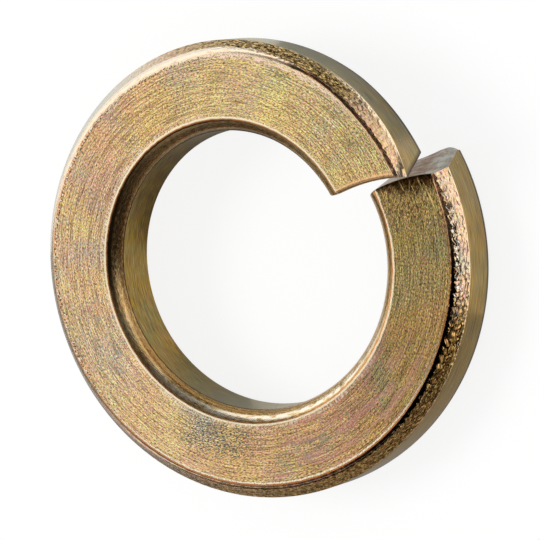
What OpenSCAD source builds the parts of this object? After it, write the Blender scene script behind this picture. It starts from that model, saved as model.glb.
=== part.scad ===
// Spring lock washer: one turn of wire, coiled left-handed and sheared off at a lean.
// It lies on its back face with the bore upright, as it would be laid down on a bench.

/* [Bolt] */
// Diameter of the bolt that goes through the washer
bolt_d = 16; // [10:0.5:30]
// Room round the bolt, on the diameter
bolt_room = 0.4; // [0.2:0.1:1.4]

/* [Wire] */
// Width of the wire, from the bore to the rim
wire_w = 5.2; // [4:0.1:9]
// Thickness of the wire, from the front face to the back face
wire_t = 3.6; // [3:0.1:7]

/* [Coil] */
// Rise of the coil in one turn, which gives the washer its spring
coil_rise = 4.35; // [1:0.05:8]
// Azimuth of the split, from the +X axis
split_az = 29.4; // [5:0.1:85]

/* [Shear cut] */
// Gap between the two ends, along the wire
cut_gap = 0.04; // [0.02:0.02:1]
// Lean of the cut from the axis of the washer, at the middle of the wire
cut_lean = 18; // [0:1:30]
// Lean of the cut at the rim
rim_lean = 24; // [0:1:35]
// Turn of the cut away from the radius, seen from above
cut_turn = 15; // [0:1:25]
// How far the two edges of the wire hook back from the middle of the cut
cut_hook = 0.34; // [0:0.02:0.6]

/* [Front outer corner] */
// Width of the chamfer, with the groove at its foot
chamfer_w = 0.84; // [0.5:0.02:1.4]
// Height of the chamfer
chamfer_h = 0.88; // [0.5:0.02:1.4]
// Width of the groove between the face and the chamfer
groove_w = 0.24; // [0.1:0.02:0.4]
// Depth of the groove below the face
groove_h = 0.2; // [0.05:0.01:0.3]

/* [Front inner corner] */
// Width of the rounded shoulder beside the bore
shoulder_w = 0.75; // [0.3:0.05:1.4]
// Height of the rounded shoulder
shoulder_h = 0.84; // [0.3:0.02:1.4]

/* [Back corners] */
// Radius of the back corner at the rim
back_r = 0.5; // [0.2:0.05:0.8]
// Bevel of the back corner at the bore
back_bevel = 0.15; // [0.05:0.05:0.4]

/* [Upper end] */
// Length over which the tip is drawn in towards the axis
tip_len = 4.7; // [2:0.1:8]
// How far the tip is drawn in
tip_pull = 0.18; // [0.05:0.01:0.4]
// Length over which the chamfer fades towards the tip
fade_len = 3; // [1:0.1:6]
// Share of the chamfer's height that is gone at the tip
fade_share = 0.75; // [0:0.05:0.9]
// Length of the rolled edge on the front face
upper_roll_len = 0.3; // [0.1:0.05:1]
// Drop of the rolled edge
upper_roll_h = 0.3; // [0.05:0.01:0.4]

/* [Lower end] */
// Length of the rolled edge on the front face
lower_roll_len = 1.6; // [0.4:0.1:3]
// Drop of the rolled edge
lower_roll_h = 0.14; // [0.05:0.01:0.4]
// Size of the worn back corner at the rim
worn_corner = 0.4; // [0.1:0.05:1.2]

/* [Inner corners of the cut] */
// Width of the rounded nose, from the bore outwards
nose_w = 1; // [0.5:0.1:2]
// Length of the rounded nose, along the wire
nose_len = 0.45; // [0.2:0.05:1]

/* [Hidden] */

bronze = "#b0935c";

bore_r = (bolt_d + bolt_room) / 2;
rim_r = bore_r + wire_w;
mid_r = (bore_r + rim_r) / 2;
face_in_r = bore_r + shoulder_w;
face_out_r = rim_r - chamfer_w;
turn_len = 2 * PI * mid_r;

// The swept wire is this much too wide at the bore and the rim, where true cylinders trim it
spare = 0.25;
// Bulge of the shoulder, as a share of its height
shoulder_bulge = 0.14;
// Height of the groove's outer lip, and hollow of the chamfer above it, as shares of the groove
lip_share = 0.6;
hollow_share = 0.2;

// Samples across the shoulder, the face and the back, as shares, and round the back corner, as angles
shoulder_steps = [0.93, 0.6, 0.28];
face_steps = [0:0.25:1];
back_steps = [0:0.2:1];
corner_steps = [66, 43, 20];

// Arc lengths of the rings near an end, and the number of rings along the plain wire
end_steps = [0, 0.1, 0.22, 0.38, 0.6, 0.95, 1.4, 2, 2.8, 3.8, 5];
plain_rings = 88;

function clamp01(x) = max(0, min(1, x));
// Drop or set-back of a rounded corner: all of it at q = 0, none from q = 1 on
function rounded(q) = 1 - sqrt(1 - pow(1 - clamp01(q), 2));

// Tangential place of the sheared surface at radius r and depth d, as an angle about the axis.
// Side is 1 at the upper end and -1 at the lower end, and both ends are set back from the gap.
function cut_az(r, d, side) =
    let (
        nose = nose_len * rounded((r - bore_r) / nose_w),
        corner = side > 0 ? 0 : worn_corner
            * clamp01(1 - (rim_r - r) / worn_corner)
            * clamp01(1 - (wire_t - d) / worn_corner),
        out = (r - mid_r) / (wire_w / 2),
        slope = tan(cut_lean) + (tan(rim_lean) - tan(cut_lean)) * out,
        along = d * slope - (r - mid_r) * tan(cut_turn) - cut_hook * out * out
    )
    asin((along + side * (cut_gap / 2 + nose + corner)) / r);

// Radius of the swept rim, which the tip draws in below the trimmed rim
function swept_r(up) = rim_r + min(spare, (up - tip_len) * tip_pull / tip_len);

// Front side of the wire's section from the bore to the rim, as [radius, depth].
// Up and low are the distances along the wire from the upper and the lower end.
function front_side(up, low) =
    let (
        out_r = swept_r(up),
        edge_r = min(rim_r, out_r),
        edge_h = chamfer_h * (1 - fade_share * pow(1 - clamp01(up / fade_len), 2)),
        lip_r = face_out_r + groove_w,
        lip_h = groove_h * lip_share,
        bulge = shoulder_h * shoulder_bulge,
        slope = (edge_h - lip_h) / (edge_r - lip_r),
        mid_chamfer = (edge_r - lip_r) / 2,
        roll = max(
            upper_roll_h * rounded(up / upper_roll_len),
            lower_roll_h * rounded(low / lower_roll_len)
        ),
        side = [
            [bore_r - spare, shoulder_h + spare],
            for (t = shoulder_steps)
                let (out = bulge * 4 * t * (1 - t))
                [face_in_r - shoulder_w * t - out, shoulder_h * t - out],
            for (t = face_steps)
                [face_in_r + (face_out_r - face_in_r) * t, 0],
            [face_out_r + groove_w / 2, groove_h],
            [lip_r, lip_h],
            [lip_r + mid_chamfer, lip_h + slope * mid_chamfer + groove_h * hollow_share],
            [out_r, lip_h + slope * (out_r - lip_r)]
        ]
    )
    [for (p = side) [p.x, max(p.y, roll)]];

// Back side of the section, with as many points and in the same order
function back_side(up) =
    let (
        out_r = swept_r(up),
        edge_r = min(rim_r, out_r),
        flat_r = bore_r + nose_w,
        corner = [
            for (a = corner_steps)
                [edge_r - back_r * (1 - cos(a)), wire_t - back_r * (1 - sin(a))]
        ],
        last = corner[len(corner) - 1]
    )
    [
        [bore_r - spare, wire_t - back_bevel - spare],
        [bore_r + back_bevel, wire_t],
        [bore_r + nose_w / 2, wire_t],
        for (t = back_steps)
            [flat_r + (edge_r - back_r - flat_r) * t, wire_t],
        each corner,
        [out_r, last.y - (out_r - last.x) / tan(corner_steps[len(corner_steps) - 1])]
    ];

function reversed(list) = [for (i = [len(list) - 1:-1:0]) list[i]];

// One ring of the sweep. Share is its place along the wire, from 0 at the upper end to 1.
function ring(share) =
    let (
        up = share * turn_len,
        low = (1 - share) * turn_len,
        outline = concat(front_side(up, low), reversed(back_side(up)))
    )
    [
        for (p = outline)
            let (
                first = cut_az(p.x, p.y, 1),
                turn = first + (360 + cut_az(p.x, p.y, -1) - first) * share,
                az = split_az + turn
            )
            [p.x * cos(az), p.x * sin(az), wire_t - p.y + coil_rise * (1 - turn / 360)]
    ];

// Closed skin over a list of rings of one length. A cap joins the front side to the back side.
module skin(rings) {
    n = len(rings[0]);
    side = n / 2;
    last = (len(rings) - 1) * n;
    walls = [
        for (k = [0:len(rings) - 2], j = [0:n - 1])
            let (a = k * n + j, b = k * n + (j + 1) % n)
            each [[a, a + n, b + n], [a, b + n, b]]
    ];
    caps = [
        for (f = [0:side - 2])
            let (g = f + 1, c = n - 1 - f, e = n - 2 - f)
            each [
                [f, g, e], [f, e, c],
                [last + e, last + g, last + f], [last + c, last + e, last + f]
            ]
    ];
    polyhedron(points = [for (r = rings) each r], faces = concat(walls, caps), convexity = 6);
}

module spring_washer() {
    end_len = end_steps[len(end_steps) - 1];
    plain = turn_len - 2 * end_len;
    steps = concat(
        end_steps,
        [for (i = [1:plain_rings - 1]) end_len + plain * i / plain_rings],
        [for (s = reversed(end_steps)) turn_len - s]
    );
    rings = [for (s = steps) ring(s / turn_len)];
    lower_end = rings[len(rings) - 1];
    n = len(lower_end);
    // The lowest point of the back face, without the one that the bore trims off
    floor_z = min([for (i = [n / 2:n - 2]) lower_end[i].z]);
    height = wire_t + coil_rise;

    color(bronze)
        translate([0, 0, -floor_z])
            difference() {
                intersection() {
                    skin(rings);
                    translate([0, 0, -height])
                        cylinder(h = 3 * height, r = rim_r, $fn = 180);
                }
                translate([0, 0, -height])
                    cylinder(h = 3 * height, r = bore_r, $fn = 180);
            }
}

spring_washer();
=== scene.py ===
import bpy
import math
from mathutils import Matrix, Vector


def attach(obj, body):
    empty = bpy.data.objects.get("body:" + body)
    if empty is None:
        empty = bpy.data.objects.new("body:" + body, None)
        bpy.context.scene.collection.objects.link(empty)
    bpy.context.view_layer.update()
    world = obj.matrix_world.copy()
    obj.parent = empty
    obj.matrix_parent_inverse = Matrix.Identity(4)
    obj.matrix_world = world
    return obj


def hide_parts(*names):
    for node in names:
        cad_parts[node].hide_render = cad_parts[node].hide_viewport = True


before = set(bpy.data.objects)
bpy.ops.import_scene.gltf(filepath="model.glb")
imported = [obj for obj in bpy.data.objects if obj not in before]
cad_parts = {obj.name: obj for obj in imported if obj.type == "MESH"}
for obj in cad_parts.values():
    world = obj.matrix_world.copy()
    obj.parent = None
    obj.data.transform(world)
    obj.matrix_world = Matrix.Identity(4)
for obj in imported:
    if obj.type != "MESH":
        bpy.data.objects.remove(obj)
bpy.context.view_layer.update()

mm = 0.001  # the scene is in metres, the sizes below are in millimetres

# Sizes of the washer, as in the part's source, and the finer wear that the scene adds. Angles are in degrees.
washer = {
    "boreRadius": 8.2,
    "rimRadius": 13.3998,  # a hair under the part's, to stay inside its box
    "wireThickness": 3.6,
    "coilRise": 4.35,
    "splitAzimuth": 29.4,
    "cutGap": 0.04,
    "cutLean": 18,
    "rimLean": 24,
    "cutTurn": 15,
    "cutHook": 0.34,
    "faceBrink": 0.03,
    "chamferWidth": 0.84,
    "chamferHeight": 0.88,
    "crestRadius": 0.07,
    "hollowShare": 0.2,
    "grooveWidth": 0.24,
    "grooveDepth": 0.2,
    "lipShare": 0.6,
    "shoulderWidth": 0.75,
    "shoulderHeight": 0.84,
    "shoulderBulge": 0.14,
    "backRadius": 0.5,
    "backBevel": 0.15,
    "middleShare": 0.6,  # where the front side of the section meets the back side, as a share of its depth
    "tipLength": 4.7,
    "tipPull": 0.18,
    "fadeLength": 3,
    "fadeShare": 0.75,
    "beadLength": 0.36,
    "beadHeight": 0.17,
    "upperRollLength": 0.42,
    "upperRollDrop": 0.3,
    "lowerRollLength": 1.6,
    "lowerRollDrop": 0.14,
    "wornReach": 0.8,
    "wornDepth": 0.6,
    "sagPlace": 11.3,
    "sagWidth": 0.8,
    "sagDepth": 0.09,
    "noseWidth": 1,
    "noseLength": 0.45,
    # How open the groove is, how far the face's outer edge wanders, and the height of the dents and of
    # the torn lip along the chamfer, at shares of the wire's length from the upper end.
    "grooveOpen": [
        (0, 0.9), (0.095, 0.9), (0.112, 0.7), (0.124, 0.05), (0.45, 0.1), (0.6, 0.5), (0.72, 1), (1, 1),
    ],
    "edgeShift": [
        (0, 0), (0.06, 0.02), (0.1, 0.14), (0.15, 0.12), (0.2, -0.02), (0.25, -0.1), (0.31, 0),
        (0.45, 0.03), (0.6, -0.02), (0.78, 0.02), (0.86, -0.03), (0.93, 0.02), (1, 0),
    ],
    "peelHeight": [
        (0, 0.05), (0.05, 0.12), (0.09, 0.4), (0.16, 0.35), (0.2, 0.04), (0.55, 0.06), (0.7, 0.2),
        (0.8, 0.4), (0.9, 0.4), (0.95, 0.2), (1, 0.1),
    ],
    "tornHeight": [
        (0, 0.1), (0.08, 0.3), (0.16, 0.2), (0.2, 0.05), (0.6, 0.1), (0.8, 0.5), (0.9, 0.7), (1, 0.3),
    ],
    "peelLength": 0.24,
    "peelWidth": 0.16,
    "tornLength": 0.22,
    # How far the moved edge, the torn lip and the bead reach across the wire.
    "edgeReach": 0.7,
    "tornReach": 0.3,
    "beadReach": 0.25,
    # Points along each part of the outline, rings along the wire, and rows across a sheared end.
    "outline": {"wall": 4, "shoulder": 10, "face": 9, "groove": 8, "chamfer": 14},
    "rings": 880,
    "ringCrowding": 0.6,  # how much closer the rings are near the ends, from 0 to 1
    "capRows": 24,
    "crispAngle": 38,
    "mergeDistance": 0.001,
    "seed": 4,
}


def linearColour(hexCode):
    channels = [int(hexCode[i : i + 2], 16) / 255 for i in (1, 3, 5)]
    return [c / 12.92 if c <= 0.04045 else ((c + 0.055) / 1.055) ** 2.4 for c in channels] + [1]


# Adds one node. Inputs maps a socket's name or number to a value or to another node's socket.
def addNode(tree, kind, inputs={}, output=0, **settings):
    node = tree.nodes.new(kind)
    for name, value in settings.items():
        setattr(node, name, value)
    for key, value in inputs.items():
        if isinstance(value, bpy.types.NodeSocket):
            tree.links.new(value, node.inputs[key])
        else:
            node.inputs[key].default_value = value
    return node.outputs[output] if len(node.outputs) else node


# Adds a table of nodes. Each row is a new name, a kind of node or what a Math node works out, and the
# inputs, which are numbers or names from before.
def addNodes(tree, known, rows):
    known = dict(known)
    for name, kind, *terms in rows:
        values = {i: known[t] if isinstance(t, str) else t for i, t in enumerate(terms)}
        if kind.isupper():
            known[name] = addNode(tree, "ShaderNodeMath", values, operation=kind)
        else:
            known[name] = addNode(tree, kind, values)
    return known


# Rows for a share that is 1 at a place and 0 from the reach on, and for its quarter round.
def nearRows(name, far, reach):
    return [
        (name + "Place", "DIVIDE", far, reach),
        (name + "Near", "SUBTRACT", 1, name + "Place"),
        (name + "Share", "MAXIMUM", name + "Near", 0),
    ]


def roundRows(name, far, reach):
    return nearRows(name, far, reach) + [
        (name + "Square", "MULTIPLY", name + "Share", name + "Share"),
        (name + "Rest", "SUBTRACT", 1, name + "Square"),
        (name + "Clear", "MAXIMUM", name + "Rest", 0),
        (name + "Root", "SQRT", name + "Clear"),
        (name + "Round", "SUBTRACT", 1, name + "Root"),
    ]


# The wire's section is a closed outline. Each point has its radius, its depth below the face, the finish of
# the strip that starts there, and how far each kind of wear reaches it.
def wireSection(size):
    bore, rim, thick = size["boreRadius"], size["rimRadius"], size["wireThickness"]
    faceIn, faceOut = bore + size["shoulderWidth"], rim - size["chamferWidth"]
    lip, lipDepth = faceOut + size["grooveWidth"], size["grooveDepth"] * size["lipShare"]
    middle, crest, count = size["middleShare"] * thick, size["crestRadius"], size["outline"]
    wall = count["wall"]
    front = []

    def mix(a, b, t):
        return a + (b - a) * t

    def grooveDip(r):  # a V with a rounded foot
        t = min(1, max(0, (r - faceOut) / (lip - faceOut)))
        return size["grooveDepth"] * (1 - abs(2 * t - 1) ** 1.6)

    clear = 0.12  # keeps the shoulder's shading off the bore's wall
    for i in range(wall):
        front.append((bore, mix(middle, size["shoulderHeight"] + clear, i / (wall - 1)), "bore"))
    for i in range(count["shoulder"]):
        t = 1 - i / (count["shoulder"] - 1)
        out = size["shoulderHeight"] * size["shoulderBulge"] * 4 * t * (1 - t)
        r = faceIn - size["shoulderWidth"] * t - out
        front.append((max(r, bore), size["shoulderHeight"] * t - out, "shoulder"))
    brink = size["faceBrink"]  # keeps the flat face's shading out of its edges
    for i in range(count["face"]):
        front.append((mix(faceIn + brink, faceOut - brink, i / (count["face"] - 1)), 0, "face"))
    for i in range(count["groove"]):
        t = i / count["groove"]
        r = mix(faceOut, lip, t)
        front.append((r, grooveDip(r) + lipDepth * t ** 2, "groove"))
    for i in range(count["chamfer"]):
        t = i / (count["chamfer"] - 1)
        d = mix(lipDepth, size["chamferHeight"] - crest * 0.75, t)
        hollow = size["grooveDepth"] * size["hollowShare"] * 4 * t * (1 - t)
        front.append((mix(lip, rim - crest * 0.62, t), d + hollow, "chamfer"))
    # One point on the round of the crest, between the chamfer's last and the rim's first.
    front.append((rim - crest * 0.2, size["chamferHeight"] - crest * 0.1, "rim"))
    for i in range(wall):
        front.append((rim, mix(size["chamferHeight"] + crest, middle, i / (wall - 1)), "rim"))

    backStart = rim - size["backRadius"]
    back = []
    for i, (r, _, _) in enumerate(front):
        if i < wall:
            back.append((bore, mix(middle, thick - size["backBevel"], i / (wall - 1)), "bore"))
        elif i >= len(front) - wall:
            t = (i - len(front) + wall) / (wall - 1)
            back.append((rim, mix(thick - size["backRadius"], middle, t), "rim"))
        elif r < bore + size["backBevel"]:
            back.append((r, thick - size["backBevel"] + r - bore, "bore"))
        elif r < backStart:
            back.append((r, thick, "back"))
        else:
            rest = max(0, size["backRadius"] ** 2 - (r - backStart) ** 2)
            back.append((r, thick - size["backRadius"] + math.sqrt(rest), "back"))

    points = []
    for side, line in ((1, front), (0, back[::-1])):
        for r, d, zone in line:
            follow = min(1, max(0, (r - lip) / (rim - lip)))
            onRim = r >= rim - 1e-6
            below = max(0, (d - size["chamferHeight"]) / (middle - size["chamferHeight"]))
            inChamfer = (r - lip) / (rim - crest * 0.62 - lip)
            tornReach = size["grooveWidth"] / 2 if r < lip else size["tornReach"]
            points.append({
                "radius": r,
                "depth": d,
                "zone": zone,
                "follow": follow,
                "fade": side * (1 - min(1, below) if onRim else follow),
                "dip": side * grooveDip(r),
                "near": side * max(0, 1 - abs(r - (faceOut + lip) / 2) / size["edgeReach"]),
                "peel": side * max(0, min(1, 6 * inChamfer * (1 - inChamfer))),
                "torn": side * max(0, 1 - abs(r - lip) / tornReach),
                "bead": side * max(0, 1 - abs(r - rim) / size["beadReach"]) * max(0, 1 - below * 4),
            })
    return points, len(front)


finishOrder = ["face", "groove", "chamfer", "rim", "bore", "back", "shoulder", "cut"]
outlineNumbers = ("follow", "fade", "dip", "near", "peel", "torn", "bead", "across", "zoneNumber")


def sectionMesh(points):
    closed = points + points[:1]
    mesh = bpy.data.meshes.new("wireSection")
    mesh.from_pydata([(p["radius"], 0, -p["depth"]) for p in closed], [], [])
    columns = {name: [] for name in outlineNumbers}
    across, last = 0, closed[0]
    for point in closed:
        across += math.hypot(point["radius"] - last["radius"], point["depth"] - last["depth"])
        numbers = {**point, "across": across, "zoneNumber": float(finishOrder.index(point["zone"]))}
        for name in outlineNumbers:
            columns[name].append(numbers[name])
        last = point
    for name, values in columns.items():
        mesh.attributes.new(name, "FLOAT", "POINT").data.foreach_set("value", values)
    return mesh


# Geometry Nodes sweep the section along the coil, wear it, shear its two ends and close them.
def coilTree(size, materials):
    tree = bpy.data.node_groups.new("coiledWire", "GeometryNodeTree")
    interface = tree.interface
    interface.new_socket("Section", in_out="INPUT", socket_type="NodeSocketGeometry")
    names = [
        "boreRadius", "rimRadius", "wireThickness", "coilRise", "cutHook", "tipLength", "tipPull",
        "fadeLength", "fadeHeight", "beadLength", "beadHeight", "upperRollLength", "upperRollDrop",
        "lowerRollLength", "lowerRollDrop", "wornReach", "wornDepth", "sagPlace", "sagWidth", "sagDepth",
        "noseWidth", "noseLength", "peelLength", "peelWidth", "tornLength", "halfGap", "splitAngle",
        "leanSlope", "rimSlope", "turnSlope", "floorDrop", "sectionPoints", "sidePoints", "rings",
        "capRows", "seed",
    ]
    whole = ("sectionPoints", "sidePoints", "rings", "capRows", "seed")
    for name in names:
        kind = "NodeSocketInt" if name in whole else "NodeSocketFloat"
        interface.new_socket(name, in_out="INPUT", socket_type=kind)
    interface.new_socket("Washer", in_out="OUTPUT", socket_type="NodeSocketGeometry")
    start = tree.nodes.new("NodeGroupInput")
    sizes = {name: start.outputs[name] for name in names}
    section = start.outputs["Section"]
    position = addNode(tree, "GeometryNodeInputPosition")
    place = addNode(tree, "ShaderNodeSeparateXYZ", {0: position}).node.outputs

    known = addNodes(tree, {**sizes, "gridX": place[0], "gridY": place[1]}, [
        ("width", "SUBTRACT", "rimRadius", "boreRadius"),
        ("halfWidth", "MULTIPLY", "width", 0.5),
        ("middleRadius", "ADD", "boreRadius", "halfWidth"),
        ("turnLength", "MULTIPLY", "middleRadius", 2 * math.pi),
        ("slopeChange", "SUBTRACT", "rimSlope", "leanSlope"),
    ])

    # What the section's outline says at a point's number.
    def readSection(index):
        at = {"Index": index, 0: section}
        spot = addNode(tree, "GeometryNodeSampleIndex", {**at, 1: position}, data_type="FLOAT_VECTOR")
        parts = addNode(tree, "ShaderNodeSeparateXYZ", {0: spot}).node.outputs
        readings = {"sectionRadius": parts[0], "sectionHeight": parts[2]}
        for name in outlineNumbers:
            value = addNode(tree, "GeometryNodeInputNamedAttribute", {"Name": name}, data_type="FLOAT")
            readings[name] = addNode(tree, "GeometryNodeSampleIndex", {**at, 1: value}, data_type="FLOAT")
        return readings

    # Wear: the tip is drawn in and ends in a bead, its chamfer fades, both front edges are rolled over, the
    # groove is filled or open, and its lip and the chamfer are torn and dented.
    def wornPoint(index, share):
        given = addNodes(tree, {**known, **readSection(index), "share": share}, [
            ("up", "MULTIPLY", "share", "turnLength"),
            ("peelU", "DIVIDE", "up", "peelLength"),
            ("peelV", "DIVIDE", "across", "peelWidth"),
            ("peelSpot", "ShaderNodeCombineXYZ", "peelU", "peelV"),
            ("tornU", "DIVIDE", "up", "tornLength"),
            ("tornSpot", "ShaderNodeCombineXYZ", "tornU", 0, 7),
        ])
        for name in ("peel", "torn"):
            given[name + "Noise"] = addNode(
                tree, "ShaderNodeTexNoise",
                {"Vector": given[name + "Spot"], "W": sizes["seed"], "Scale": 1.0, "Detail": 1.0},
                noise_dimensions="4D",
            )
        for name in ("grooveOpen", "edgeShift", "peelHeight", "tornHeight"):
            values = [value for at, value in size[name]]
            low, span = min(values), max(values) - min(values)
            curve = addNode(tree, "ShaderNodeFloatCurve", {"Value": share})
            points = curve.node.mapping.curves[0].points
            while len(points) < len(values):
                points.new(0.5, 0.5)
            for point, (at, value) in zip(points, size[name]):
                point.location = (at, (value - low) / span)
            curve.node.mapping.update()
            terms = {0: curve, 1: span, 2: low}
            given[name] = addNode(tree, "ShaderNodeMath", terms, operation="MULTIPLY_ADD")
        return addNodes(tree, given, [
            ("low", "SUBTRACT", "turnLength", "up"),
            *nearRows("tip", "up", "tipLength"),
            ("pull", "MULTIPLY", "tipShare", "tipPull"),
            ("pulled", "MULTIPLY", "pull", "follow"),
            *nearRows("fade", "up", "fadeLength"),
            ("fadeSquare", "MULTIPLY", "fadeShare", "fadeShare"),
            ("fadeDrop", "MULTIPLY", "fadeSquare", "fadeHeight"),
            ("faded", "MULTIPLY", "fadeDrop", "fade"),
            ("unfilled", "SUBTRACT", 1, "grooveOpen"),
            ("filled", "MULTIPLY", "dip", "unfilled"),
            ("beadPlace", "DIVIDE", "up", "beadLength"),
            ("beadSquare", "MULTIPLY", "beadPlace", "beadPlace"),
            ("beadRest", "SUBTRACT", 1, "beadSquare"),
            ("beadClear", "MAXIMUM", "beadRest", 0),
            ("beadRoot", "SQRT", "beadClear"),
            ("beadSize", "MULTIPLY", "beadRoot", "beadHeight"),
            ("beaded", "MULTIPLY", "beadSize", "bead"),
            ("peelOff", "SUBTRACT", "peelNoise", 0.5),
            ("peelSize", "MULTIPLY", "peelHeight", "peel"),
            ("peeled", "MULTIPLY", "peelOff", "peelSize"),
            ("tornOff", "SUBTRACT", "tornNoise", 0.5),
            ("tornSize", "MULTIPLY", "tornHeight", "torn"),
            ("tornShift", "MULTIPLY", "tornOff", "tornSize"),
            ("edgeMoved", "MULTIPLY", "near", "edgeShift"),
            ("sectionDepth", "MULTIPLY", "sectionHeight", -1),
            ("openDepth", "SUBTRACT", "sectionDepth", "filled"),
            ("beadDepth", "SUBTRACT", "openDepth", "beaded"),
            ("peelDepth", "ADD", "beadDepth", "peeled"),
            ("fadedDepth", "SUBTRACT", "peelDepth", "faded"),
            *roundRows("upper", "up", "upperRollLength"),
            *roundRows("lower", "low", "lowerRollLength"),
            ("upperRoll", "MULTIPLY", "upperRound", "upperRollDrop"),
            ("lowerRoll", "MULTIPLY", "lowerRound", "lowerRollDrop"),
            ("roll", "MAXIMUM", "upperRoll", "lowerRoll"),
            ("depth", "MAXIMUM", "fadedDepth", "roll"),
            ("pulledRadius", "SUBTRACT", "sectionRadius", "pulled"),
            ("tornRadius", "ADD", "pulledRadius", "tornShift"),
            ("beadRadius", "MULTIPLY_ADD", "beaded", 0.5, "tornRadius"),
            ("radius", "ADD", "beadRadius", "edgeMoved"),
        ])

    # Place: the shear cut gives each point's turn at both ends, and the coil its height.
    def coiledPoint(radius, depth, share):
        sums = addNodes(tree, {**known, "radius": radius, "depth": depth, "share": share}, [
            ("off", "SUBTRACT", "radius", "middleRadius"),
            ("out", "DIVIDE", "off", "halfWidth"),
            ("extraSlope", "MULTIPLY", "out", "slopeChange"),
            ("slope", "ADD", "leanSlope", "extraSlope"),
            ("leaned", "MULTIPLY", "depth", "slope"),
            ("turned", "MULTIPLY", "off", "turnSlope"),
            ("square", "MULTIPLY", "out", "out"),
            ("hooked", "MULTIPLY", "square", "cutHook"),
            ("flatCut", "SUBTRACT", "leaned", "turned"),
            ("along", "SUBTRACT", "flatCut", "hooked"),
            ("fromBore", "SUBTRACT", "radius", "boreRadius"),
            *roundRows("nose", "fromBore", "noseWidth"),
            ("nose", "MULTIPLY", "noseRound", "noseLength"),
            ("upperBack", "ADD", "nose", "halfGap"),
            ("fromRim", "SUBTRACT", "rimRadius", "radius"),
            *nearRows("rim", "fromRim", "wornReach"),
            ("fromBack", "SUBTRACT", "wireThickness", "depth"),
            *nearRows("back", "fromBack", "wornReach"),
            ("corner", "MULTIPLY", "rimShare", "backShare"),
            ("roundCorner", "MULTIPLY", "corner", "corner"),
            ("worn", "MULTIPLY", "roundCorner", "wornDepth"),
            ("sagOff", "SUBTRACT", "radius", "sagPlace"),
            ("sagSpot", "DIVIDE", "sagOff", "sagWidth"),
            ("sagSquare", "MULTIPLY", "sagSpot", "sagSpot"),
            ("sagBelow", "SUBTRACT", 0, "sagSquare"),
            ("sagBell", "EXPONENT", "sagBelow"),
            ("sagHere", "MULTIPLY", "sagBell", "backShare"),
            ("sagged", "MULTIPLY", "sagHere", "sagDepth"),
            ("wornBack", "ADD", "upperBack", "worn"),
            ("lowerBack", "ADD", "wornBack", "sagged"),
            ("upperAlong", "ADD", "along", "upperBack"),
            ("upperSine", "DIVIDE", "upperAlong", "radius"),
            ("first", "ARCSINE", "upperSine"),
            ("lowerAlong", "SUBTRACT", "along", "lowerBack"),
            ("lowerSine", "DIVIDE", "lowerAlong", "radius"),
            ("lowerAngle", "ARCSINE", "lowerSine"),
            ("last", "ADD", "lowerAngle", 2 * math.pi),
            ("span", "SUBTRACT", "last", "first"),
            ("turn", "MULTIPLY_ADD", "span", "share", "first"),
            ("angle", "ADD", "turn", "splitAngle"),
            ("cosine", "COSINE", "angle"),
            ("sine", "SINE", "angle"),
            ("x", "MULTIPLY", "radius", "cosine"),
            ("y", "MULTIPLY", "radius", "sine"),
            ("turns", "DIVIDE", "turn", 2 * math.pi),
            ("fallen", "MULTIPLY", "turns", "coilRise"),
            ("top", "SUBTRACT", "wireThickness", "depth"),
            ("level", "ADD", "top", "coilRise"),
            ("lowered", "SUBTRACT", "level", "fallen"),
            ("z", "SUBTRACT", "lowered", "floorDrop"),
        ])
        spot = addNode(tree, "ShaderNodeCombineXYZ", {0: sums["x"], 1: sums["y"], 2: sums["z"]})
        return addNode(tree, "ShaderNodeVectorMath", {0: spot, 3: mm}, operation="SCALE")

    # The wall: one grid, with closer rings towards both ends.
    columns = addNode(tree, "ShaderNodeMath", {0: sizes["sectionPoints"], 1: 1}, operation="ADD")
    grid = addNode(tree, "GeometryNodeMeshGrid", {0: 1, 1: 1, 2: sizes["rings"], 3: columns})
    gridSums = addNodes(tree, known, [
        ("plain", "ADD", "gridX", 0.5),
        ("circle", "MULTIPLY", "plain", 2 * math.pi),
        ("wave", "SINE", "circle"),
        ("crowd", "MULTIPLY", "wave", size["ringCrowding"] / (2 * math.pi)),
        ("share", "SUBTRACT", "plain", "crowd"),
        ("around", "ADD", "gridY", 0.5),
        ("number", "MULTIPLY", "around", "sectionPoints"),
        ("index", "ROUND", "number"),
        ("strip", "FLOOR", "number"),
        ("length", "MULTIPLY", "share", "turnLength"),
    ])
    wornWall = wornPoint(gridSums["index"], gridSums["share"])
    wallSpot = coiledPoint(wornWall["radius"], wornWall["depth"], gridSums["share"])
    stripZone = readSection(gridSums["strip"])["zoneNumber"]
    wallMap = addNode(tree, "ShaderNodeCombineXYZ", {0: gridSums["length"], 1: wornWall["across"]})
    shapes = [(grid, stripZone, wallMap, wallSpot)]

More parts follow.
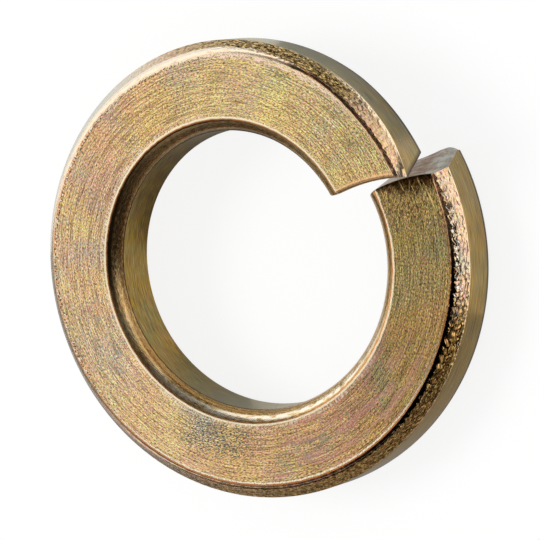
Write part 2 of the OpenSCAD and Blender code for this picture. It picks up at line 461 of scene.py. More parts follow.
    # The sheared ends: a grid from the front side of the section to its back side.
    for share in (0.0, 1.0):
        capGrid = addNode(tree, "GeometryNodeMeshGrid",
                          {0: 1, 1: 1, 2: sizes["sidePoints"], 3: sizes["capRows"]})
        cap = addNodes(tree, known, [
            ("along", "ADD", "gridX", 0.5),
            ("last", "SUBTRACT", "sidePoints", 1),
            ("number", "MULTIPLY", "along", "last"),
            ("frontIndex", "ROUND", "number"),
            ("lastPoint", "SUBTRACT", "sectionPoints", 1),
            ("backIndex", "SUBTRACT", "lastPoint", "frontIndex"),
            ("mix", "ADD", "gridY", 0.5),
        ])
        front = wornPoint(cap["frontIndex"], share)
        back = wornPoint(cap["backIndex"], share)
        blend = addNodes(tree, {
            "mix": cap["mix"], "r0": front["radius"], "r1": back["radius"],
            "d0": front["depth"], "d1": back["depth"],
        }, [
            ("dr", "SUBTRACT", "r1", "r0"),
            ("dd", "SUBTRACT", "d1", "d0"),
            ("radius", "MULTIPLY_ADD", "dr", "mix", "r0"),
            ("depth", "MULTIPLY_ADD", "dd", "mix", "d0"),
        ])
        spot = coiledPoint(blend["radius"], blend["depth"], share)
        capMap = addNode(tree, "ShaderNodeCombineXYZ", {0: blend["radius"], 1: blend["depth"]})
        if share == 0.0:
            capGrid = addNode(tree, "GeometryNodeFlipFaces", {0: capGrid})
        shapes.append((capGrid, float(finishOrder.index("cut")), capMap, spot))

    joined = tree.nodes.new("GeometryNodeJoinGeometry")
    for shape, zone, wire, spot in shapes:
        kept = (("zone", zone, "FLOAT", "FACE"), ("wire", wire, "FLOAT2", "CORNER"))
        for name, value, kind, domain in kept:
            shape = addNode(tree, "GeometryNodeStoreNamedAttribute", {0: shape, "Name": name, "Value": value},
                            data_type=kind, domain=domain)
        shape = addNode(tree, "GeometryNodeSetPosition", {0: shape, 2: spot})
        tree.links.new(shape, joined.inputs[0])
    closed = addNode(tree, "GeometryNodeMergeByDistance",
                     {0: joined.outputs[0], "Distance": size["mergeDistance"] * mm})
    edgeAngle = addNode(tree, "GeometryNodeInputMeshEdgeAngle")
    crisp = addNode(tree, "FunctionNodeCompare", {0: edgeAngle, 1: math.radians(size["crispAngle"])},
                    operation="LESS_THAN")
    smooth = addNode(tree, "GeometryNodeSetShadeSmooth", {0: closed, 2: True}, domain="FACE")
    smooth = addNode(tree, "GeometryNodeSetShadeSmooth", {0: smooth, 2: crisp}, domain="EDGE")
    result = addNode(tree, "GeometryNodeRealizeInstances", {0: smooth})
    zone = addNode(tree, "GeometryNodeInputNamedAttribute", {"Name": "zone"}, data_type="FLOAT")
    for name, material in materials.items():
        chosen = addNode(tree, "FunctionNodeCompare",
                         {0: zone, 1: float(finishOrder.index(name)), "Epsilon": 0.1}, operation="EQUAL")
        result = addNode(tree, "GeometryNodeSetMaterial", {0: result, 1: chosen, 2: material})
    end = tree.nodes.new("NodeGroupOutput")
    tree.links.new(result, end.inputs[0])
    return tree


def cutAngle(size, r, d, side):
    width = size["rimRadius"] - size["boreRadius"]
    out = (r - size["boreRadius"]) / width * 2 - 1
    lean, rimLean = (math.tan(math.radians(size[k])) for k in ("cutLean", "rimLean"))
    near = max(0, 1 - (r - size["boreRadius"]) / size["noseWidth"])
    nose = size["noseLength"] * (1 - math.sqrt(max(0, 1 - near * near)))
    turned = out * width / 2 * math.tan(math.radians(size["cutTurn"]))
    along = d * (lean + (rimLean - lean) * out) - turned - size["cutHook"] * out * out
    return math.asin((along + side * (size["cutGap"] / 2 + nose)) / r)


# The lower end's back edge touches the floor where the cut reaches furthest round.
def floorDrop(size):
    step, count = 0.05, 90
    steps = [size["boreRadius"] + size["backBevel"] + i * step for i in range(count)]
    furthest = max(cutAngle(size, r, size["wireThickness"], -1) for r in steps)
    return -size["coilRise"] * furthest / (2 * math.pi)


def addMesh(name, mesh):
    obj = bpy.data.objects.new(name, mesh)
    bpy.context.scene.collection.objects.link(obj)
    return obj


def buildWasher(size, materials):
    points, sidePoints = wireSection(size)
    tree = coilTree(size, materials)
    base = addMesh("coiledWire", sectionMesh(points))
    modifier = base.modifiers.new("coiledWire", "NODES")
    modifier.node_group = tree
    values = {
        **size,
        "fadeHeight": size["chamferHeight"] * size["fadeShare"],
        "halfGap": size["cutGap"] / 2,
        "splitAngle": math.radians(size["splitAzimuth"]),
        "leanSlope": math.tan(math.radians(size["cutLean"])),
        "rimSlope": math.tan(math.radians(size["rimLean"])),
        "turnSlope": math.tan(math.radians(size["cutTurn"])),
        "floorDrop": floorDrop(size),
        "sectionPoints": len(points),
        "sidePoints": sidePoints,
    }
    for item in tree.interface.items_tree:
        if item.item_type == "SOCKET" and item.in_out == "INPUT" and item.name in values:
            modifier[item.identifier] = values[item.name]
    shown = base.evaluated_get(bpy.context.evaluated_depsgraph_get())
    mesh = bpy.data.meshes.new_from_object(shown)
    bpy.data.objects.remove(base)
    mesh.name = "springLockWasher"
    piece = addMesh("springLockWasher", mesh)
    print("washer: vertices, faces", len(mesh.vertices), len(mesh.polygons))
    return piece


# Distances round the outline, in millimetres, at which each finish starts.
def edgePlaces(size):
    points, _ = wireSection(size)
    across, places, last = 0, {}, points[0]
    for point in points:
        across += math.hypot(point["radius"] - last["radius"], point["depth"] - last["depth"])
        places.setdefault(point["zone"], across)
        last = point
    return places


edges = edgePlaces(washer)
wireLength = math.pi * (washer["boreRadius"] + washer["rimRadius"])


# A layer of wear, oxide, painted highlight or painted shade lies where all its limits meet. "along" gives its
# share at millimetres from the upper end. "strip" is the start of a finish, how far from there the strip's
# middle lies and half its width, and "wander" how far it strays. "spots" is a noise's length, its width and
# the two levels between which it fills in, turned from the wire by "lean". There the layer lays its colour
# over the finish, or multiplies it by its tint, and moves the surface by its height.
def addLayer(tree, wire, number, layer, colour, height):
    place = addNode(tree, "ShaderNodeSeparateXYZ", {0: wire}).node.outputs
    limits = []
    if "along" in layer:
        at = addNode(tree, "ShaderNodeMath", {0: place[0], 1: wireLength}, operation="DIVIDE")
        ramp = addNode(tree, "ShaderNodeValToRGB", {0: at})
        elements = ramp.node.color_ramp.elements
        while len(elements) < len(layer["along"]):
            elements.new(0.5)
        for element, (distance, value) in zip(elements, layer["along"]):
            element.position = distance / wireLength
            element.color = (value, value, value, 1)
        limits.append(ramp)
    if "strip" in layer:
        edge, off, half = layer["strip"]
        wander = layer.get("wander", 0.03)
        bends = 1.6  # in a millimetre of wire
        drift = addNode(tree, "ShaderNodeMapping", {0: wire, 1: (0, off, 0), 3: (bends, 0, 1)})
        drift = addNode(tree, "ShaderNodeTexNoise", {0: drift, "Scale": 1.0})
        sums = addNodes(tree, {"v": place[1], "drift": drift}, [
            ("shift", "ShaderNodeMapRange", "drift", 0.25, 0.75, -wander, wander),
            ("moved", "ADD", "v", "shift"),
            ("off", "SUBTRACT", "moved", edges[edge] + off),
            ("far", "ABSOLUTE", "off"),
            ("strip", "ShaderNodeMapRange", "far", half, half * 0.6, 0.0, 1.0),  # soft over its outer 0.4
        ])
        limits.append(sums["strip"])
    if "spots" in layer:
        length, width, low, high = layer["spots"]
        shift = (-number * length, -number * width, 0)
        lean = (0, 0, math.radians(layer.get("lean", 0)))
        spot = addNode(tree, "ShaderNodeMapping", {0: wire, 1: shift, 2: lean, 3: (length, width, 1)},
                       vector_type="TEXTURE")
        spots = addNode(tree, "ShaderNodeTexNoise", {0: spot, "Scale": 1.0, "Detail": 1.0})
        limits.append(addNode(tree, "ShaderNodeMapRange", {0: spots, 1: low, 2: high}))
    mask = layer.get("share", 1.0)
    for limit in limits:
        mask = addNode(tree, "ShaderNodeMath", {0: limit, 1: mask}, operation="MULTIPLY")
    for key, blend in (("colour", "MIX"), ("tint", "MULTIPLY")):
        if key in layer:
            colour = addNode(tree, "ShaderNodeMix", {0: mask, 6: colour, 7: linearColour(layer[key])},
                             output=2, data_type="RGBA", blend_type=blend)
    if "height" in layer:
        height = addNode(tree, "ShaderNodeMath", {0: mask, 1: layer["height"] * mm, 2: height},
                         operation="MULTIPLY_ADD")
    return colour, height


# One finish of the bronze: three hues in patches and grain, streaked along the wire, under its layers.
def bronzeFinish(name, finish, layers=()):
    material = bpy.data.materials.new(name)
    material.use_nodes = True
    tree = material.node_tree
    shader = tree.nodes["Principled BSDF"]
    wire = addNode(tree, "ShaderNodeUVMap", uv_map="wire")
    whole = addNode(tree, "ShaderNodeTexCoord", output=3)
    patch = [finish["patchSize"] * mm] * 3
    length, width, rise = finish["grain"]
    grain, streak = (length, width, 1), (finish["streakLength"], width * 1.5, 1)
    (contrast, streaks), rough = finish["contrast"], finish["roughness"]
    low, high, roughSpread = 0.3, 0.7, 0.06  # most of a noise lies between low and high
    noises = {}
    for key, where, size, detail in (
        ("warmPatch", whole, patch, 3.0), ("coolPatch", whole, patch, 3.0), ("warmGrain", wire, grain, 1.0),
        ("coolGrain", wire, grain, 1.0), ("hueGrain", wire, grain, 1.0), ("grain", wire, grain, 2.0),
        ("streak", wire, streak, 2.0),
    ):
        shift = 6 * len(noises) + 3
        spot = addNode(tree, "ShaderNodeMapping", {0: where, 1: (shift, shift, 0), 3: [1 / s for s in size]})
        noises[key] = addNode(tree, "ShaderNodeTexNoise", {0: spot, "Scale": 1.0, "Detail": detail})
    sums = addNodes(tree, noises, [
        ("warmSum", "ADD", "warmPatch", "warmGrain"),
        ("warm", "ShaderNodeMapRange", "warmSum", 0.8, 1.2, 0.0, 1.0),
        ("coolSum", "ADD", "coolPatch", "coolGrain"),
        ("cool", "ShaderNodeMapRange", "coolSum", 0.95, 1.35, 0.0, 1.0),
        ("grainValue", "ShaderNodeMapRange", "grain", low, high, 1 - contrast, 1 + contrast),
        ("streakValue", "ShaderNodeMapRange", "streak", low, high, 1 - streaks, 1 + streaks),
        ("value", "MULTIPLY", "grainValue", "streakValue"),
        ("height", "MULTIPLY", "grain", rise * mm),
        ("rough", "ShaderNodeMapRange", "grain", low, high, rough - roughSpread, rough + roughSpread),
    ])
    base, warm, cool = (linearColour(hue) for hue in finish["hues"])
    colour = addNode(tree, "ShaderNodeMix", {0: sums["warm"], 6: base, 7: warm}, output=2, data_type="RGBA")
    colour = addNode(tree, "ShaderNodeMix", {0: sums["cool"], 6: colour, 7: cool}, output=2, data_type="RGBA")
    hues = noises["hueGrain"].node.outputs[1]
    colour = addNode(tree, "ShaderNodeMix", {0: finish["hueSpread"], 6: colour, 7: hues}, output=2,
                     data_type="RGBA", blend_type="LINEAR_LIGHT")
    colour = addNode(tree, "ShaderNodeHueSaturation", {"Value": sums["value"], "Color": colour})
    height = sums["height"]
    for number, layer in enumerate(layers):
        colour, height = addLayer(tree, wire, 5 * number + 1, layer, colour, height)
    tree.links.new(colour, shader.inputs["Base Color"])
    tree.links.new(sums["rough"], shader.inputs["Roughness"])
    shader.inputs["Metallic"].default_value = 1
    bump = addNode(tree, "ShaderNodeBump", {"Strength": 1.0, "Distance": 1.0, "Height": height})
    tree.links.new(bump, shader.inputs["Normal"])
    return material


# The metal is silicon bronze, in a base, a warm and a cool hue. The grain's length, width and height are in
# millimetres, along the wire, across it and off it, and the contrast is that of the grain and of the streaks.
# Real rolling and drawing lines are a few hundredths apart, too fine to show: they are drawn 0.06 mm wide, a
# pixel.
finishes = {
    # Rolled strip: warm gold-tan with a fine directional grain of brass, pink and grey.
    "rolled": {
        "hues": ("#e6cc88", "#e2ba90", "#b8bca8"), "hueSpread": 0.32, "patchSize": 3.2,
        "grain": (0.14, 0.06, 0.012), "streakLength": 1.8, "contrast": (0.85, 0.5), "roughness": 0.2,
    },
    # Drawn corner of the wire, pressed against the die: paler and pinker, with an orange peel.
    "drawn": {
        "hues": ("#efd0a6", "#f0c2a2", "#d4ccba"), "hueSpread": 0.25, "patchSize": 1.6,
        "grain": (0.16, 0.13, 0.01), "streakLength": 0.8, "contrast": (0.35, 0.1), "roughness": 0.25,
    },
    # Shoulder beside the bore, smoother than the face, with a thin brown oxide.
    "shoulder": {
        "hues": ("#e2c488", "#d8b078", "#c4b890"), "hueSpread": 0.14, "patchSize": 1.6,
        "grain": (0.4, 0.07, 0.006), "streakLength": 2.4, "contrast": (0.6, 0.2), "roughness": 0.25,
    },
    # Satin wall with fine lines round it from drawing, olive with thin oxide.
    "satin": {
        "hues": ("#a89056", "#a88c58", "#96947a"), "hueSpread": 0.07, "patchSize": 2.4,
        "grain": (1.1, 0.06, 0.006), "streakLength": 9, "contrast": (0.45, 0.2), "roughness": 0.34,
    },
    # Bore wall, drawn like the rim but under a more golden oxide.
    "bored": {
        "hues": ("#ac8c40", "#aa8642", "#8e8858"), "hueSpread": 0.1, "patchSize": 2.4,
        "grain": (1.1, 0.06, 0.006), "streakLength": 9, "contrast": (0.55, 0.2), "roughness": 0.34,
    },
    # Sheared end: silvery grey-brown satin, with faint lines in the direction of the cut.
    "sheared": {
        "hues": ("#aeaa9a", "#a89884", "#a2a8a4"), "hueSpread": 0.04, "patchSize": 1.2,
        "grain": (0.12, 0.6, 0.004), "streakLength": 0.12, "contrast": (0.3, 0.1), "roughness": 0.32,
    },
}


# Wear that sets in between the first two distances along the wire and ends between the last two.
def between(start, full, waning, end, level=1):
    return [(start, 0), (full, level), (waning, level), (end, 0)]


faceWearAndPaintedLight = [
    # Pinker along the left and the bottom, yellower towards the upper end and browner towards the lower one.
    {"tint": "#fff2f4", "along": between(14, 24, 52, 58)},
    {"tint": "#fffbe4", "along": [(0, 1), (12, 0.6), (22, 0)]},
    {"tint": "#c4bc98", "along": [(40, 0), (50, 0.45), (57, 0.9), (61, 0.8), (67, 0.5)]},
    {"tint": "#ececdc", "along": [(60, 0), (64, 1), (67.8, 1)]},
    # Long brown arcs from rolling.
    {"colour": "#8c6a48", "share": 0.5, "strip": ("face", 1.5, 1.7), "spots": (7, 0.13, 0.58, 0.68),
     "along": [(9, 0), (13, 1), (27, 1), (32, 0.3), (50, 0.6), (60, 0)]},
    {"tint": "#f2eaec", "along": [(9, 0), (14, 1), (21, 1), (26, 0), (50, 0), (55, 1), (60, 1), (63, 0.3)]},
    # Grey-green, blue-grey and pink patches of oxide.
    {"colour": "#4c5c5c", "share": 0.9, "along": between(39.5, 41, 44.5, 46.5),
     "spots": (0.16, 0.08, 0.5, 0.58), "strip": ("face", 1.1, 1.3), "wander": 0.6},
    {"colour": "#7c8878", "share": 0.5, "along": between(46, 48, 50, 52), "spots": (0.9, 0.3, 0.5, 0.6),
     "strip": ("face", 1.9, 0.9), "wander": 0.4},
    {"colour": "#8894a0", "share": 0.4, "along": between(7.5, 9, 11, 13), "spots": (0.3, 0.1, 0.48, 0.6)},
    {"colour": "#98a49c", "share": 0.6, "along": [(18, 0), (24, 0.8), (34, 1), (40, 0)],
     "spots": (0.6, 0.1, 0.56, 0.66)},
    {"colour": "#c98c88", "share": 0.4, "along": between(45, 48, 56, 60), "spots": (2.0, 0.5, 0.5, 0.62)},
    # Painted highlight along the edge where it meets the shoulder, with short scratches outwards from there.
    {"colour": "#ffedc8", "strip": ("face", -0.01, 0.09)},
    {"colour": "#fff0d8", "share": 0.6, "strip": ("face", 0.16, 0.16),
     "along": [(10, 0.2), (18, 1), (52, 1), (58, 0)], "spots": (0.07, 0.5, 0.5, 0.62)},
    # Painted highlights along the groove's edge: a broken line and paler strips beside it, with orange lines.
    {"colour": "#ffecc8", "strip": ("groove", -0.04, 0.09), "spots": (0.25, 2.0, 0.35, 0.5),
     "along": [(0, 0.3), (10, 0.6), (14, 1), (30, 0.6), (36, 0.5), (50, 0.3), (60, 0)]},
    {"colour": "#fff2d2", "strip": ("groove", -0.13, 0.065),
     "along": [(35, 0), (40, 0.9), (53, 1), (58, 0.2), (60, 0)]},
    {"colour": "#b87038", "strip": ("groove", -0.02, 0.08),
     "along": [(35, 0), (39, 0.9), (54, 0.9), (58, 0.4), (67, 0.5)]},
    {"colour": "#e8a468", "strip": ("groove", -0.06, 0.08), "spots": (0.25, 0.3, 0.46, 0.52),
     "along": between(18, 22, 36, 40, 0.9)},
    {"colour": "#fffdf6", "strip": ("groove", -0.1, 0.08), "spots": (0.16, 0.3, 0.55, 0.6),
     "along": between(18, 22, 36, 40, 0.9)},
    {"colour": "#ffdec4", "strip": ("groove", -0.14, 0.14), "spots": (0.4, 0.11, 0.42, 0.52),
     "along": [(3, 0), (5, 0.8), (8.6, 1), (12, 1), (15, 0)]},
    # Pits beside that line, and dark specks all over.
    {"colour": "#5a4630", "height": -0.02, "strip": ("groove", -0.13, 0.1), "wander": 0.05,
     "spots": (0.1, 0.1, 0.54, 0.62), "along": [(8, 0), (14, 0.8), (34, 0.9), (38, 0.2)]},
    {"colour": "#4a3a26", "height": -0.02, "spots": (0.1, 0.08, 0.7, 0.74)},
    # Painted shade on the upper end's rolled edge, with a pale orange painted highlight behind it.
    {"colour": "#4c2a14", "along": [(0, 1), (0.14, 1), (0.22, 0)]},
    {"colour": "#ffca92", "along": between(0.14, 0.22, 0.34, 0.46), "spots": (0.3, 0.6, 0.25, 0.42)},
    # Dark and golden scratches from the shear, beside the lower end's cut.
    {"colour": "#3a2810", "share": 0.7, "along": [(63, 0), (66, 1), (67.8, 1)],
     "spots": (0.3, 0.12, 0.5, 0.62), "lean": 20},
    {"colour": "#ffe090", "share": 0.9, "height": 0.01, "along": [(60, 0), (64, 0.8), (67.7, 1)],
     "spots": (2.8, 0.11, 0.65, 0.7), "lean": -6},
    {"colour": "#ffd890", "share": 0.9, "along": [(66.4, 0), (67, 1), (67.7, 1)],
     "spots": (0.5, 0.1, 0.56, 0.62), "lean": 35},
    # Painted shade along the lower end's front edge.
    {"colour": "#140d05", "along": [(67.6, 0), (67.68, 0.95), (67.86, 0.95)]},
]
chamferWearAndPaintedLight = [
    # Brown blotches: tarnish over the dents near the upper end, and along the bottom partly tarnish, partly
    # painted shade.
    {"colour": "#9a7038",
     "along": [(0, 0.1), (3, 0.4), (13, 0.2), (34, 0.3), (42, 0.7), (48, 0.5), (58, 0.7), (61.5, 0.1)],
     "spots": (0.25, 0.14, 0.32, 0.5)},
    {"colour": "#7c6630", "along": between(3.5, 5.5, 12, 14), "spots": (0.3, 0.2, 0.3, 0.42)},
    # Duller outer half on the left.
    {"colour": "#8a7c60", "share": 0.6, "strip": ("chamfer", 0.72, 0.42),
     "along": [(4, 0.2), (8, 0.9), (13, 1), (17, 0)]},
    # More golden along the right and the bottom, and painted shade, darkest where the right side turns down.
    {"tint": "#f0dc98", "along": [(40, 0), (46, 0.8), (56, 0.8), (60, 1), (62, 0)]},
    {"colour": "#3c2a12", "share": 0.35, "along": between(52, 56, 60.5, 61.8),
     "spots": (0.3, 0.18, 0.3, 0.45)},
    # Orange peel as bumps, with painted glints on its tops and painted shade in dark gaps where it is torn.
    {"height": 0.2, "along": [(0, 0.02), (2, 0.04), (4.5, 0.4), (6, 1), (11, 0.9), (14, 0.2), (34, 0.25),
     (42, 0.7), (60, 1), (63, 0.5)], "spots": (0.3, 0.2, 0.0, 1.0)},
    {"colour": "#2c200c", "along": between(4, 6, 12, 17, 0.8), "spots": (0.24, 0.15, 0.46, 0.56)},
    {"colour": "#1e150a", "along": [(38, 0.2), (42, 0.8), (50, 0.6), (55, 0.5), (59, 1), (60.5, 1), (62, 0)],
     "spots": (0.22, 0.12, 0.5, 0.58)},
    {"colour": "#f4d08c", "along": [(4, 0), (6, 0.8), (12, 1), (15, 0)], "spots": (0.24, 0.1, 0.55, 0.63)},
    {"colour": "#f8cc80", "along": [(38, 0.4), (44, 0.9), (61, 1), (63, 0.2)],
     "spots": (0.22, 0.1, 0.54, 0.6)},
    # Black painted shade in the dents beside the groove, towards the lower end, and painted glints beside
    # them.
    {"colour": "#20160c", "height": -0.05, "strip": ("chamfer", 0.14, 0.3), "wander": 0.1,
     "along": [(54, 0), (59, 0.9), (66, 1), (67.4, 0)], "spots": (0.34, 0.2, 0.5, 0.55)},
    {"colour": "#fff6e0", "height": 0.03, "strip": ("chamfer", 0.24, 0.36), "wander": 0.1,
     "along": between(60.5, 62, 66, 67.4), "spots": (0.3, 0.16, 0.54, 0.6)},
    # Painted highlights on the lip beside the groove on the left and on the crest at the rim.
    {"colour": "#fff4e2", "strip": ("chamfer", 0.1, 0.22), "along": between(9, 12, 30, 36, 0.8)},
    # A pale grey painted reflection on the outer half on the left, and an orange line beside the groove.
    {"colour": "#d2d6ca", "share": 0.9, "strip": ("chamfer", 0.62, 0.4),
     "along": [(15, 0), (19, 0.9), (33, 0.9), (38, 0.3), (44, 0)]},
    {"colour": "#e8a86c", "strip": ("chamfer", 0.06, 0.07), "spots": (0.35, 0.5, 0.42, 0.5),
     "along": [(20, 0), (23, 0.8), (36, 0.9), (42, 0)]},
    # The crest's painted highlight.
    {"colour": "#ffdcb4", "share": 0.85, "strip": ("rim", -0.03, 0.06), "wander": 0.02,
     "along": [(50, 0), (56, 0.8), (67, 1)]},
    {"colour": "#ffe8c4", "strip": ("rim", -0.08, 0.14), "wander": 0.02,
     "along": [(0.5, 0), (1, 0.6), (1.6, 1), (4.5, 0.9), (7, 0)]},
    # The bead at the tip: orange, with a white painted highlight.
    {"colour": "#ffd088", "along": [(0, 1), (0.24, 1), (0.34, 0)], "strip": ("rim", -0.08, 0.26)},
    {"colour": "#ffffff", "along": [(0, 0.6), (0.06, 1), (0.18, 1), (0.25, 0)],
     "strip": ("rim", -0.14, 0.3)},
]
# Painted shade in the open groove, darkest towards the lower end and gone where the groove is rolled shut,
# with an orange line and, where it is shut, a pale painted highlight.
grooveColourAndPaintedLight = [
    {"colour": "#e09048", "strip": ("groove", 0.05, 0.09),
     "along": [(0, 0.4), (7, 0.4), (8, 0), (34, 0), (38, 1), (59, 1), (62, 0.4), (67, 0.3)]},
    {"colour": "#20150c", "strip": ("groove", 0.15, 0.13), "spots": (0.4, 0.5, 0.1, 0.4),
     "along": [(0, 0.8), (6, 0.95), (7.9, 0.9), (8.4, 0), (34, 0), (42, 0.8), (54, 1), (63, 1), (67, 0.6)]},
    {"colour": "#ffe8cc", "along": [(8, 0), (9, 0.9), (30, 0.7), (36, 0)], "spots": (0.5, 0.2, 0.3, 0.5)},
    {"colour": "#120c06", "along": [(48, 0), (55, 1), (62, 1), (65, 0.3), (67, 0)],
     "spots": (0.2, 0.3, 0.34, 0.46)},
]
shoulderWearAndPaintedLight = [
    # Painted shade on the shoulder: brown, most along the left and towards the lower end, and black near the
    # face's edge along the left.
    {"colour": "#6e482e", "share": 0.8, "along": [(3, 0.3), (8, 0.9), (12, 0.8), (17, 0.8), (26, 1),
     (31, 0.3), (35, 0.6), (38, 0.4), (42, 0), (50, 0), (58, 0.5), (64, 0.6), (67, 0.8)]},
    {"colour": "#1c120a", "strip": ("face", -0.22, 0.2),
     "along": [(19, 0), (23, 0.85), (28, 0.9), (34, 0.3), (42, 0)]},
    {"colour": "#140c06", "strip": ("face", -0.14, 0.11),
     "along": [(8, 0.2), (12, 0.9), (21, 0.9), (24, 0)]},
    {"colour": "#34260f", "share": 0.7, "along": between(18, 23, 28, 31), "spots": (0.3, 0.1, 0.36, 0.56)},
    # A painted highlight in the middle and a golden bore side along the bottom.
    {"colour": "#fff4de", "strip": ("face", -0.4, 0.22), "spots": (0.7, 0.3, 0.34, 0.5),
     "along": [(35, 0), (40, 0.8), (54, 1), (60, 0)]},
    {"colour": "#b88a48", "share": 0.7, "strip": ("shoulder", 0.28, 0.3),
     "along": [(28, 0), (34, 0.8), (54, 0.9), (60, 0)]},
    # A painted highlight along the face's edge, an orange line beside it, and painted shade in the crease at
    # the foot of the shoulder by the bore.
    {"colour": "#ffedc8", "strip": ("face", -0.01, 0.09)},
    {"colour": "#d48444", "share": 0.7, "strip": ("face", -0.1, 0.06)},
    {"colour": "#2a1a10", "share": 0.85, "strip": ("shoulder", 0.03, 0.07)},
]

# The rim and the bore have a few bright nicks and patches of grey-green oxide.
satinWear = [
    {"colour": "#f0efe2", "spots": (0.13, 0.12, 0.76, 0.8)},
    {"colour": "#a2a894", "share": 0.5, "along": between(2, 7, 13, 22)},
    {"tint": "#fff2ca", "along": [(50, 0), (55, 1), (62, 1), (66, 0.4)]},
    # Dark oxide on the back corner and along the upper end's cut.
    {"colour": "#54482c", "strip": ("back", -0.03, 0.22)},
    {"colour": "#33241a", "along": [(0, 1), (0.05, 1), (0.1, 0)]},
]
boreWear = [
    {"colour": "#f0efe2", "spots": (0.13, 0.12, 0.76, 0.8)},
    {"colour": "#9aa490", "share": 0.5, "along": between(35, 42, 47, 54)},
]
# On a sheared end the map runs from the bore to the rim: browner towards the bore.
shearWear = [
    {"colour": "#9a683a", "share": 0.95, "along": [(8.4, 0.4), (11.2, 1), (12, 0.9), (12.9, 0)],
     "spots": (1.2, 0.24, 0.32, 0.48)},
    {"colour": "#4c301a", "share": 0.8, "along": [(8.4, 0.4), (11.8, 1), (12.6, 0)],
     "spots": (0.6, 0.14, 0.5, 0.58)},
    {"colour": "#ffffff", "along": between(12.7, 12.75, 12.85, 12.9), "spots": (0.3, 0.2, 0.58, 0.62)},
    {"colour": "#c8ccc6", "share": 0.8, "along": [(11.8, 0), (12.4, 1), (13.4, 1)],
     "spots": (0.5, 0.6, 0.45, 0.6)},
]

drawn = bronzeFinish("siliconBronzeDrawn", finishes["drawn"], chamferWearAndPaintedLight)
rolled = bronzeFinish("siliconBronzeRolled", finishes["rolled"], faceWearAndPaintedLight)
grooved = bronzeFinish("siliconBronzeGroove", finishes["drawn"], grooveColourAndPaintedLight)
shoulder = bronzeFinish("siliconBronzeShoulder", finishes["shoulder"], shoulderWearAndPaintedLight)
satin = bronzeFinish("siliconBronzeSatin", finishes["satin"], satinWear)
bored = bronzeFinish("siliconBronzeBore", finishes["bored"], boreWear)
sheared = bronzeFinish("siliconBronzeSheared", finishes["sheared"], shearWear)
materials = {
    "face": rolled, "groove": grooved, "chamfer": drawn, "rim": satin,
    "bore": bored, "back": satin, "shoulder": shoulder, "cut": sheared,
}
print("materials:", len(finishes), "finishes of silicon bronze")
piece = buildWasher(washer, materials)
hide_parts("spring_washer")
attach(piece, "root")

# Cards show only in the metal, as white or grey boards round a product do. Each is a brightness and its
# reach in azimuth and elevation. Floor cards have a reach in azimuth and in distance from the axis, and the
# overhead card is round. Angles are in degrees.
studio = {
    "floor": "#f4f4f2",
    "floorCameraShare": 0.85,
    "floorGlossyShare": 0.35,
    "worldStrength": 0.75,
    "keyPower": 1.4,
    "keySize": 250,
    "keyAzimuth": 175,
    "keyElevation": 55,
    "keyDistance": 500,
    "overhead": {"grey": 0.14, "azimuth": 100, "elevation": 61, "radius": 29, "distance": 180},
    "cards": {
        "softBox": (1.25, (103, 178), (-2, 40)),
        "lowSoftBox": (1.35, (-12, 62), (-2, 32)),
        "darkCard": (0.17, (-140, -12), (-2, 22)),
        "leftCard": (0.2, (-180, -140), (-2, 20)),
        "frontCard": (0.12, (-100, -12), (22, 45)),
        "dimCard": (0.5, (-170, -100), (22, 46)),
        "highCard": (0.2, (-130, -12), (46, 90)),
        "sideCard": (0.32, (-12, 103), (32, 90)),
        "lowSideCard": (0.25, (62, 96), (-2, 32)),
        "backCard": (0.2, (103, 145), (40, 90)),
    },
    # Floor cards are grey sheets on the floor, seen only in the metal, that paint the floor's shade: dark
    # inside the bore, grey beside the rim and on the side away from the light, and near white towards it.
    "floorCards": {
        "boreTopFloorCard": (0.13, (104, 178), (3, 8.1)),
        "boreLeftFloorCard": (0.66, (182, 208), (3, 8.1)),
        "boreLowFloorCard": (0.36, (212, 250), (3, 8.1)),
        "darkFloorCard": (0.42, (-180, -20), (18.5, 190)),
        "rimLowFloorCard": (0.42, (-100, -12), (13.6, 18.5)),
        "rimFloorCard": (0.35, (40, 90), (13.6, 18)),
        "softFloorCard": (0.97, (98, 178), (18, 190)),
    },
    "cardDistance": 200,
    "cardSteps": (32, 12),
    "floorCardLift": 0.05,
    "floorReach": 3000,
}
centre = Vector((0, 0, 4)) * mm


def aim(azimuth, elevation):
    a, e = math.radians(azimuth), math.radians(elevation)
    return Vector((math.cos(a) * math.cos(e), math.sin(a) * math.cos(e), math.sin(e)))


# A card's mesh is a grid of spots, which spotAt gives for two shares from 0 to 1.
def addCard(name, grey, spotAt):
    across, up = studio["cardSteps"]
    corners = [spotAt(i / across, j / up) for j in range(up + 1) for i in range(across + 1)]
    starts = [j * (across + 1) + i for j in range(up) for i in range(across)]
    faces = [(k, k + 1, k + across + 2, k + across + 1) for k in starts]
    mesh = bpy.data.meshes.new(name)
    mesh.from_pydata(corners, [], faces)
    material = bpy.data.materials.new(name)
    material.use_nodes = True
    tree = material.node_tree
    tree.nodes.clear()
    glow = addNode(tree, "ShaderNodeEmission", {"Color": (1, 1, 1, 1), "Strength": grey})
    addNode(tree, "ShaderNodeOutputMaterial", {"Surface": glow})
    mesh.materials.append(material)
    card = addMesh(name, mesh)
    card.visible_camera = card.visible_diffuse = card.visible_shadow = False
    card.visible_transmission = card.visible_volume_scatter = False


def overheadSpot(s, t):
    card = studio["overhead"]
    pole = aim(card["azimuth"], card["elevation"])
    first = pole.orthogonal().normalized()
    second = pole.cross(first)
    a, e = 2 * math.pi * s, math.radians(card["radius"]) * t
    spot = pole * math.cos(e) + (first * math.cos(a) + second * math.sin(a)) * math.sin(e)
    return centre + spot * card["distance"] * mm


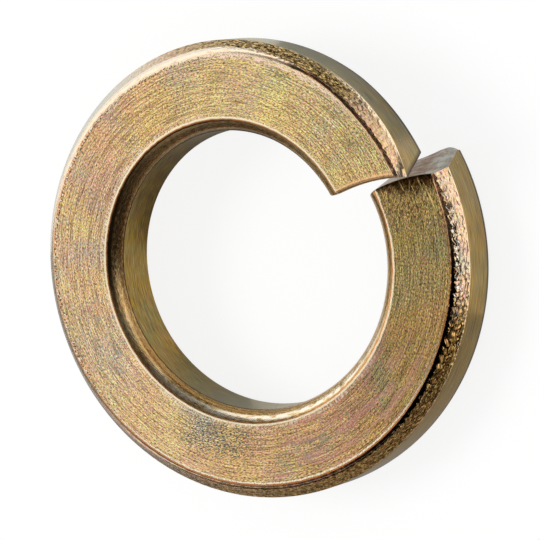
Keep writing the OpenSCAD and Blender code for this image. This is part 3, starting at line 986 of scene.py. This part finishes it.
addCard("overheadCard", studio["overhead"]["grey"], overheadSpot)
for name, (grey, azimuths, reach) in {**studio["cards"], **studio["floorCards"]}.items():
    def cardSpot(s, t):
        azimuth = azimuths[0] + (azimuths[1] - azimuths[0]) * s
        place = reach[0] + (reach[1] - reach[0]) * t
        if name in studio["cards"]:
            return centre + aim(azimuth, place) * studio["cardDistance"] * mm
        spot = aim(azimuth, 0) * place
        return Vector((spot.x, spot.y, studio["floorCardLift"])) * mm

    addCard(name, grey, cardSpot)


# The kinds of ray that the floor and the world tell apart.
def rayKinds(tree):
    path = addNode(tree, "ShaderNodeLightPath").node.outputs
    return {kind.lower(): path[f"Is {kind} Ray"] for kind in ("Camera", "Glossy", "Transmission")}


floorMesh = bpy.data.meshes.new("floor")
reach = studio["floorReach"] * mm
floorMesh.from_pydata(
    [(-reach, -reach, 0), (reach, -reach, 0), (reach, reach, 0), (-reach, reach, 0)], [], [(0, 1, 2, 3)]
)
floorMaterial = bpy.data.materials.new("paleFloor")
floorMaterial.use_nodes = True
floorTree = floorMaterial.node_tree
floorTree.nodes.clear()
paint = addNode(floorTree, "ShaderNodeBsdfDiffuse", {"Color": linearColour(studio["floor"])})
white = addNode(floorTree, "ShaderNodeEmission", {"Color": (1, 1, 1, 1), "Strength": 1.0})
share = addNodes(floorTree, rayKinds(floorTree), [
    ("mirrored", "MULTIPLY", "glossy", studio["floorGlossyShare"]),
    ("seen", "ADD", "camera", "transmission"),
    ("share", "MULTIPLY_ADD", "seen", studio["floorCameraShare"], "mirrored"),
])["share"]
surface = addNode(floorTree, "ShaderNodeMixShader", {0: share, 1: paint, 2: white})
addNode(floorTree, "ShaderNodeOutputMaterial", {"Surface": surface})
floorMesh.materials.append(floorMaterial)
floor = addMesh("floor", floorMesh)

world = bpy.data.worlds.new("studioWorld")
bpy.context.scene.world = world
world.use_nodes = True
worldTree = world.node_tree
worldTree.nodes.clear()
strength = addNodes(worldTree, rayKinds(worldTree), [
    ("either", "ADD", "camera", "glossy"),
    ("seen", "ADD", "either", "transmission"),
    ("strength", "ShaderNodeMapRange", "seen", 0.0, 1.0, studio["worldStrength"], 1.0),
])["strength"]
sky = addNode(worldTree, "ShaderNodeBackground", {"Color": (1, 1, 1, 1), "Strength": strength})
addNode(worldTree, "ShaderNodeOutputWorld", {"Surface": sky})

keyLight = bpy.data.lights.new("key", "AREA")
keyLight.shape = "DISK"
keyLight.size = studio["keySize"] * mm
keyLight.energy = studio["keyPower"]
key = bpy.data.objects.new("key", keyLight)
bpy.context.scene.collection.objects.link(key)
toKey = aim(studio["keyAzimuth"], studio["keyElevation"])
key.location = centre + toKey * studio["keyDistance"] * mm
key.rotation_euler = toKey.to_track_quat("Z", "Y").to_euler()
key.visible_glossy = False

# The place, aim and roll come from fitting circles of the washer to those of the photograph.
view = {
    "place": (92.956, 18.469, 166.119),
    "look": (-0.49138, -0.09883, -0.86532),
    "up": (-0.02603, 0.99476, -0.09883),
    "lens": 215.527,
    "sensor": 36,
    "clipStart": 10,
}
cameraData = bpy.data.cameras.new("camera")
cameraData.lens = view["lens"]
cameraData.sensor_width = view["sensor"]
cameraData.clip_start = view["clipStart"] * mm
camera = bpy.data.objects.new("camera", cameraData)
bpy.context.scene.collection.objects.link(camera)
back = -Vector(view["look"]).normalized()
side = Vector(view["up"]).cross(back).normalized()
turn = Matrix((side, back.cross(side), back)).transposed().to_4x4()
camera.matrix_world = Matrix.Translation(Vector(view["place"]) * mm) @ turn
bpy.context.scene.camera = camera
bpy.context.scene.view_settings.view_transform = "Standard"
print("scene: light and camera are set")
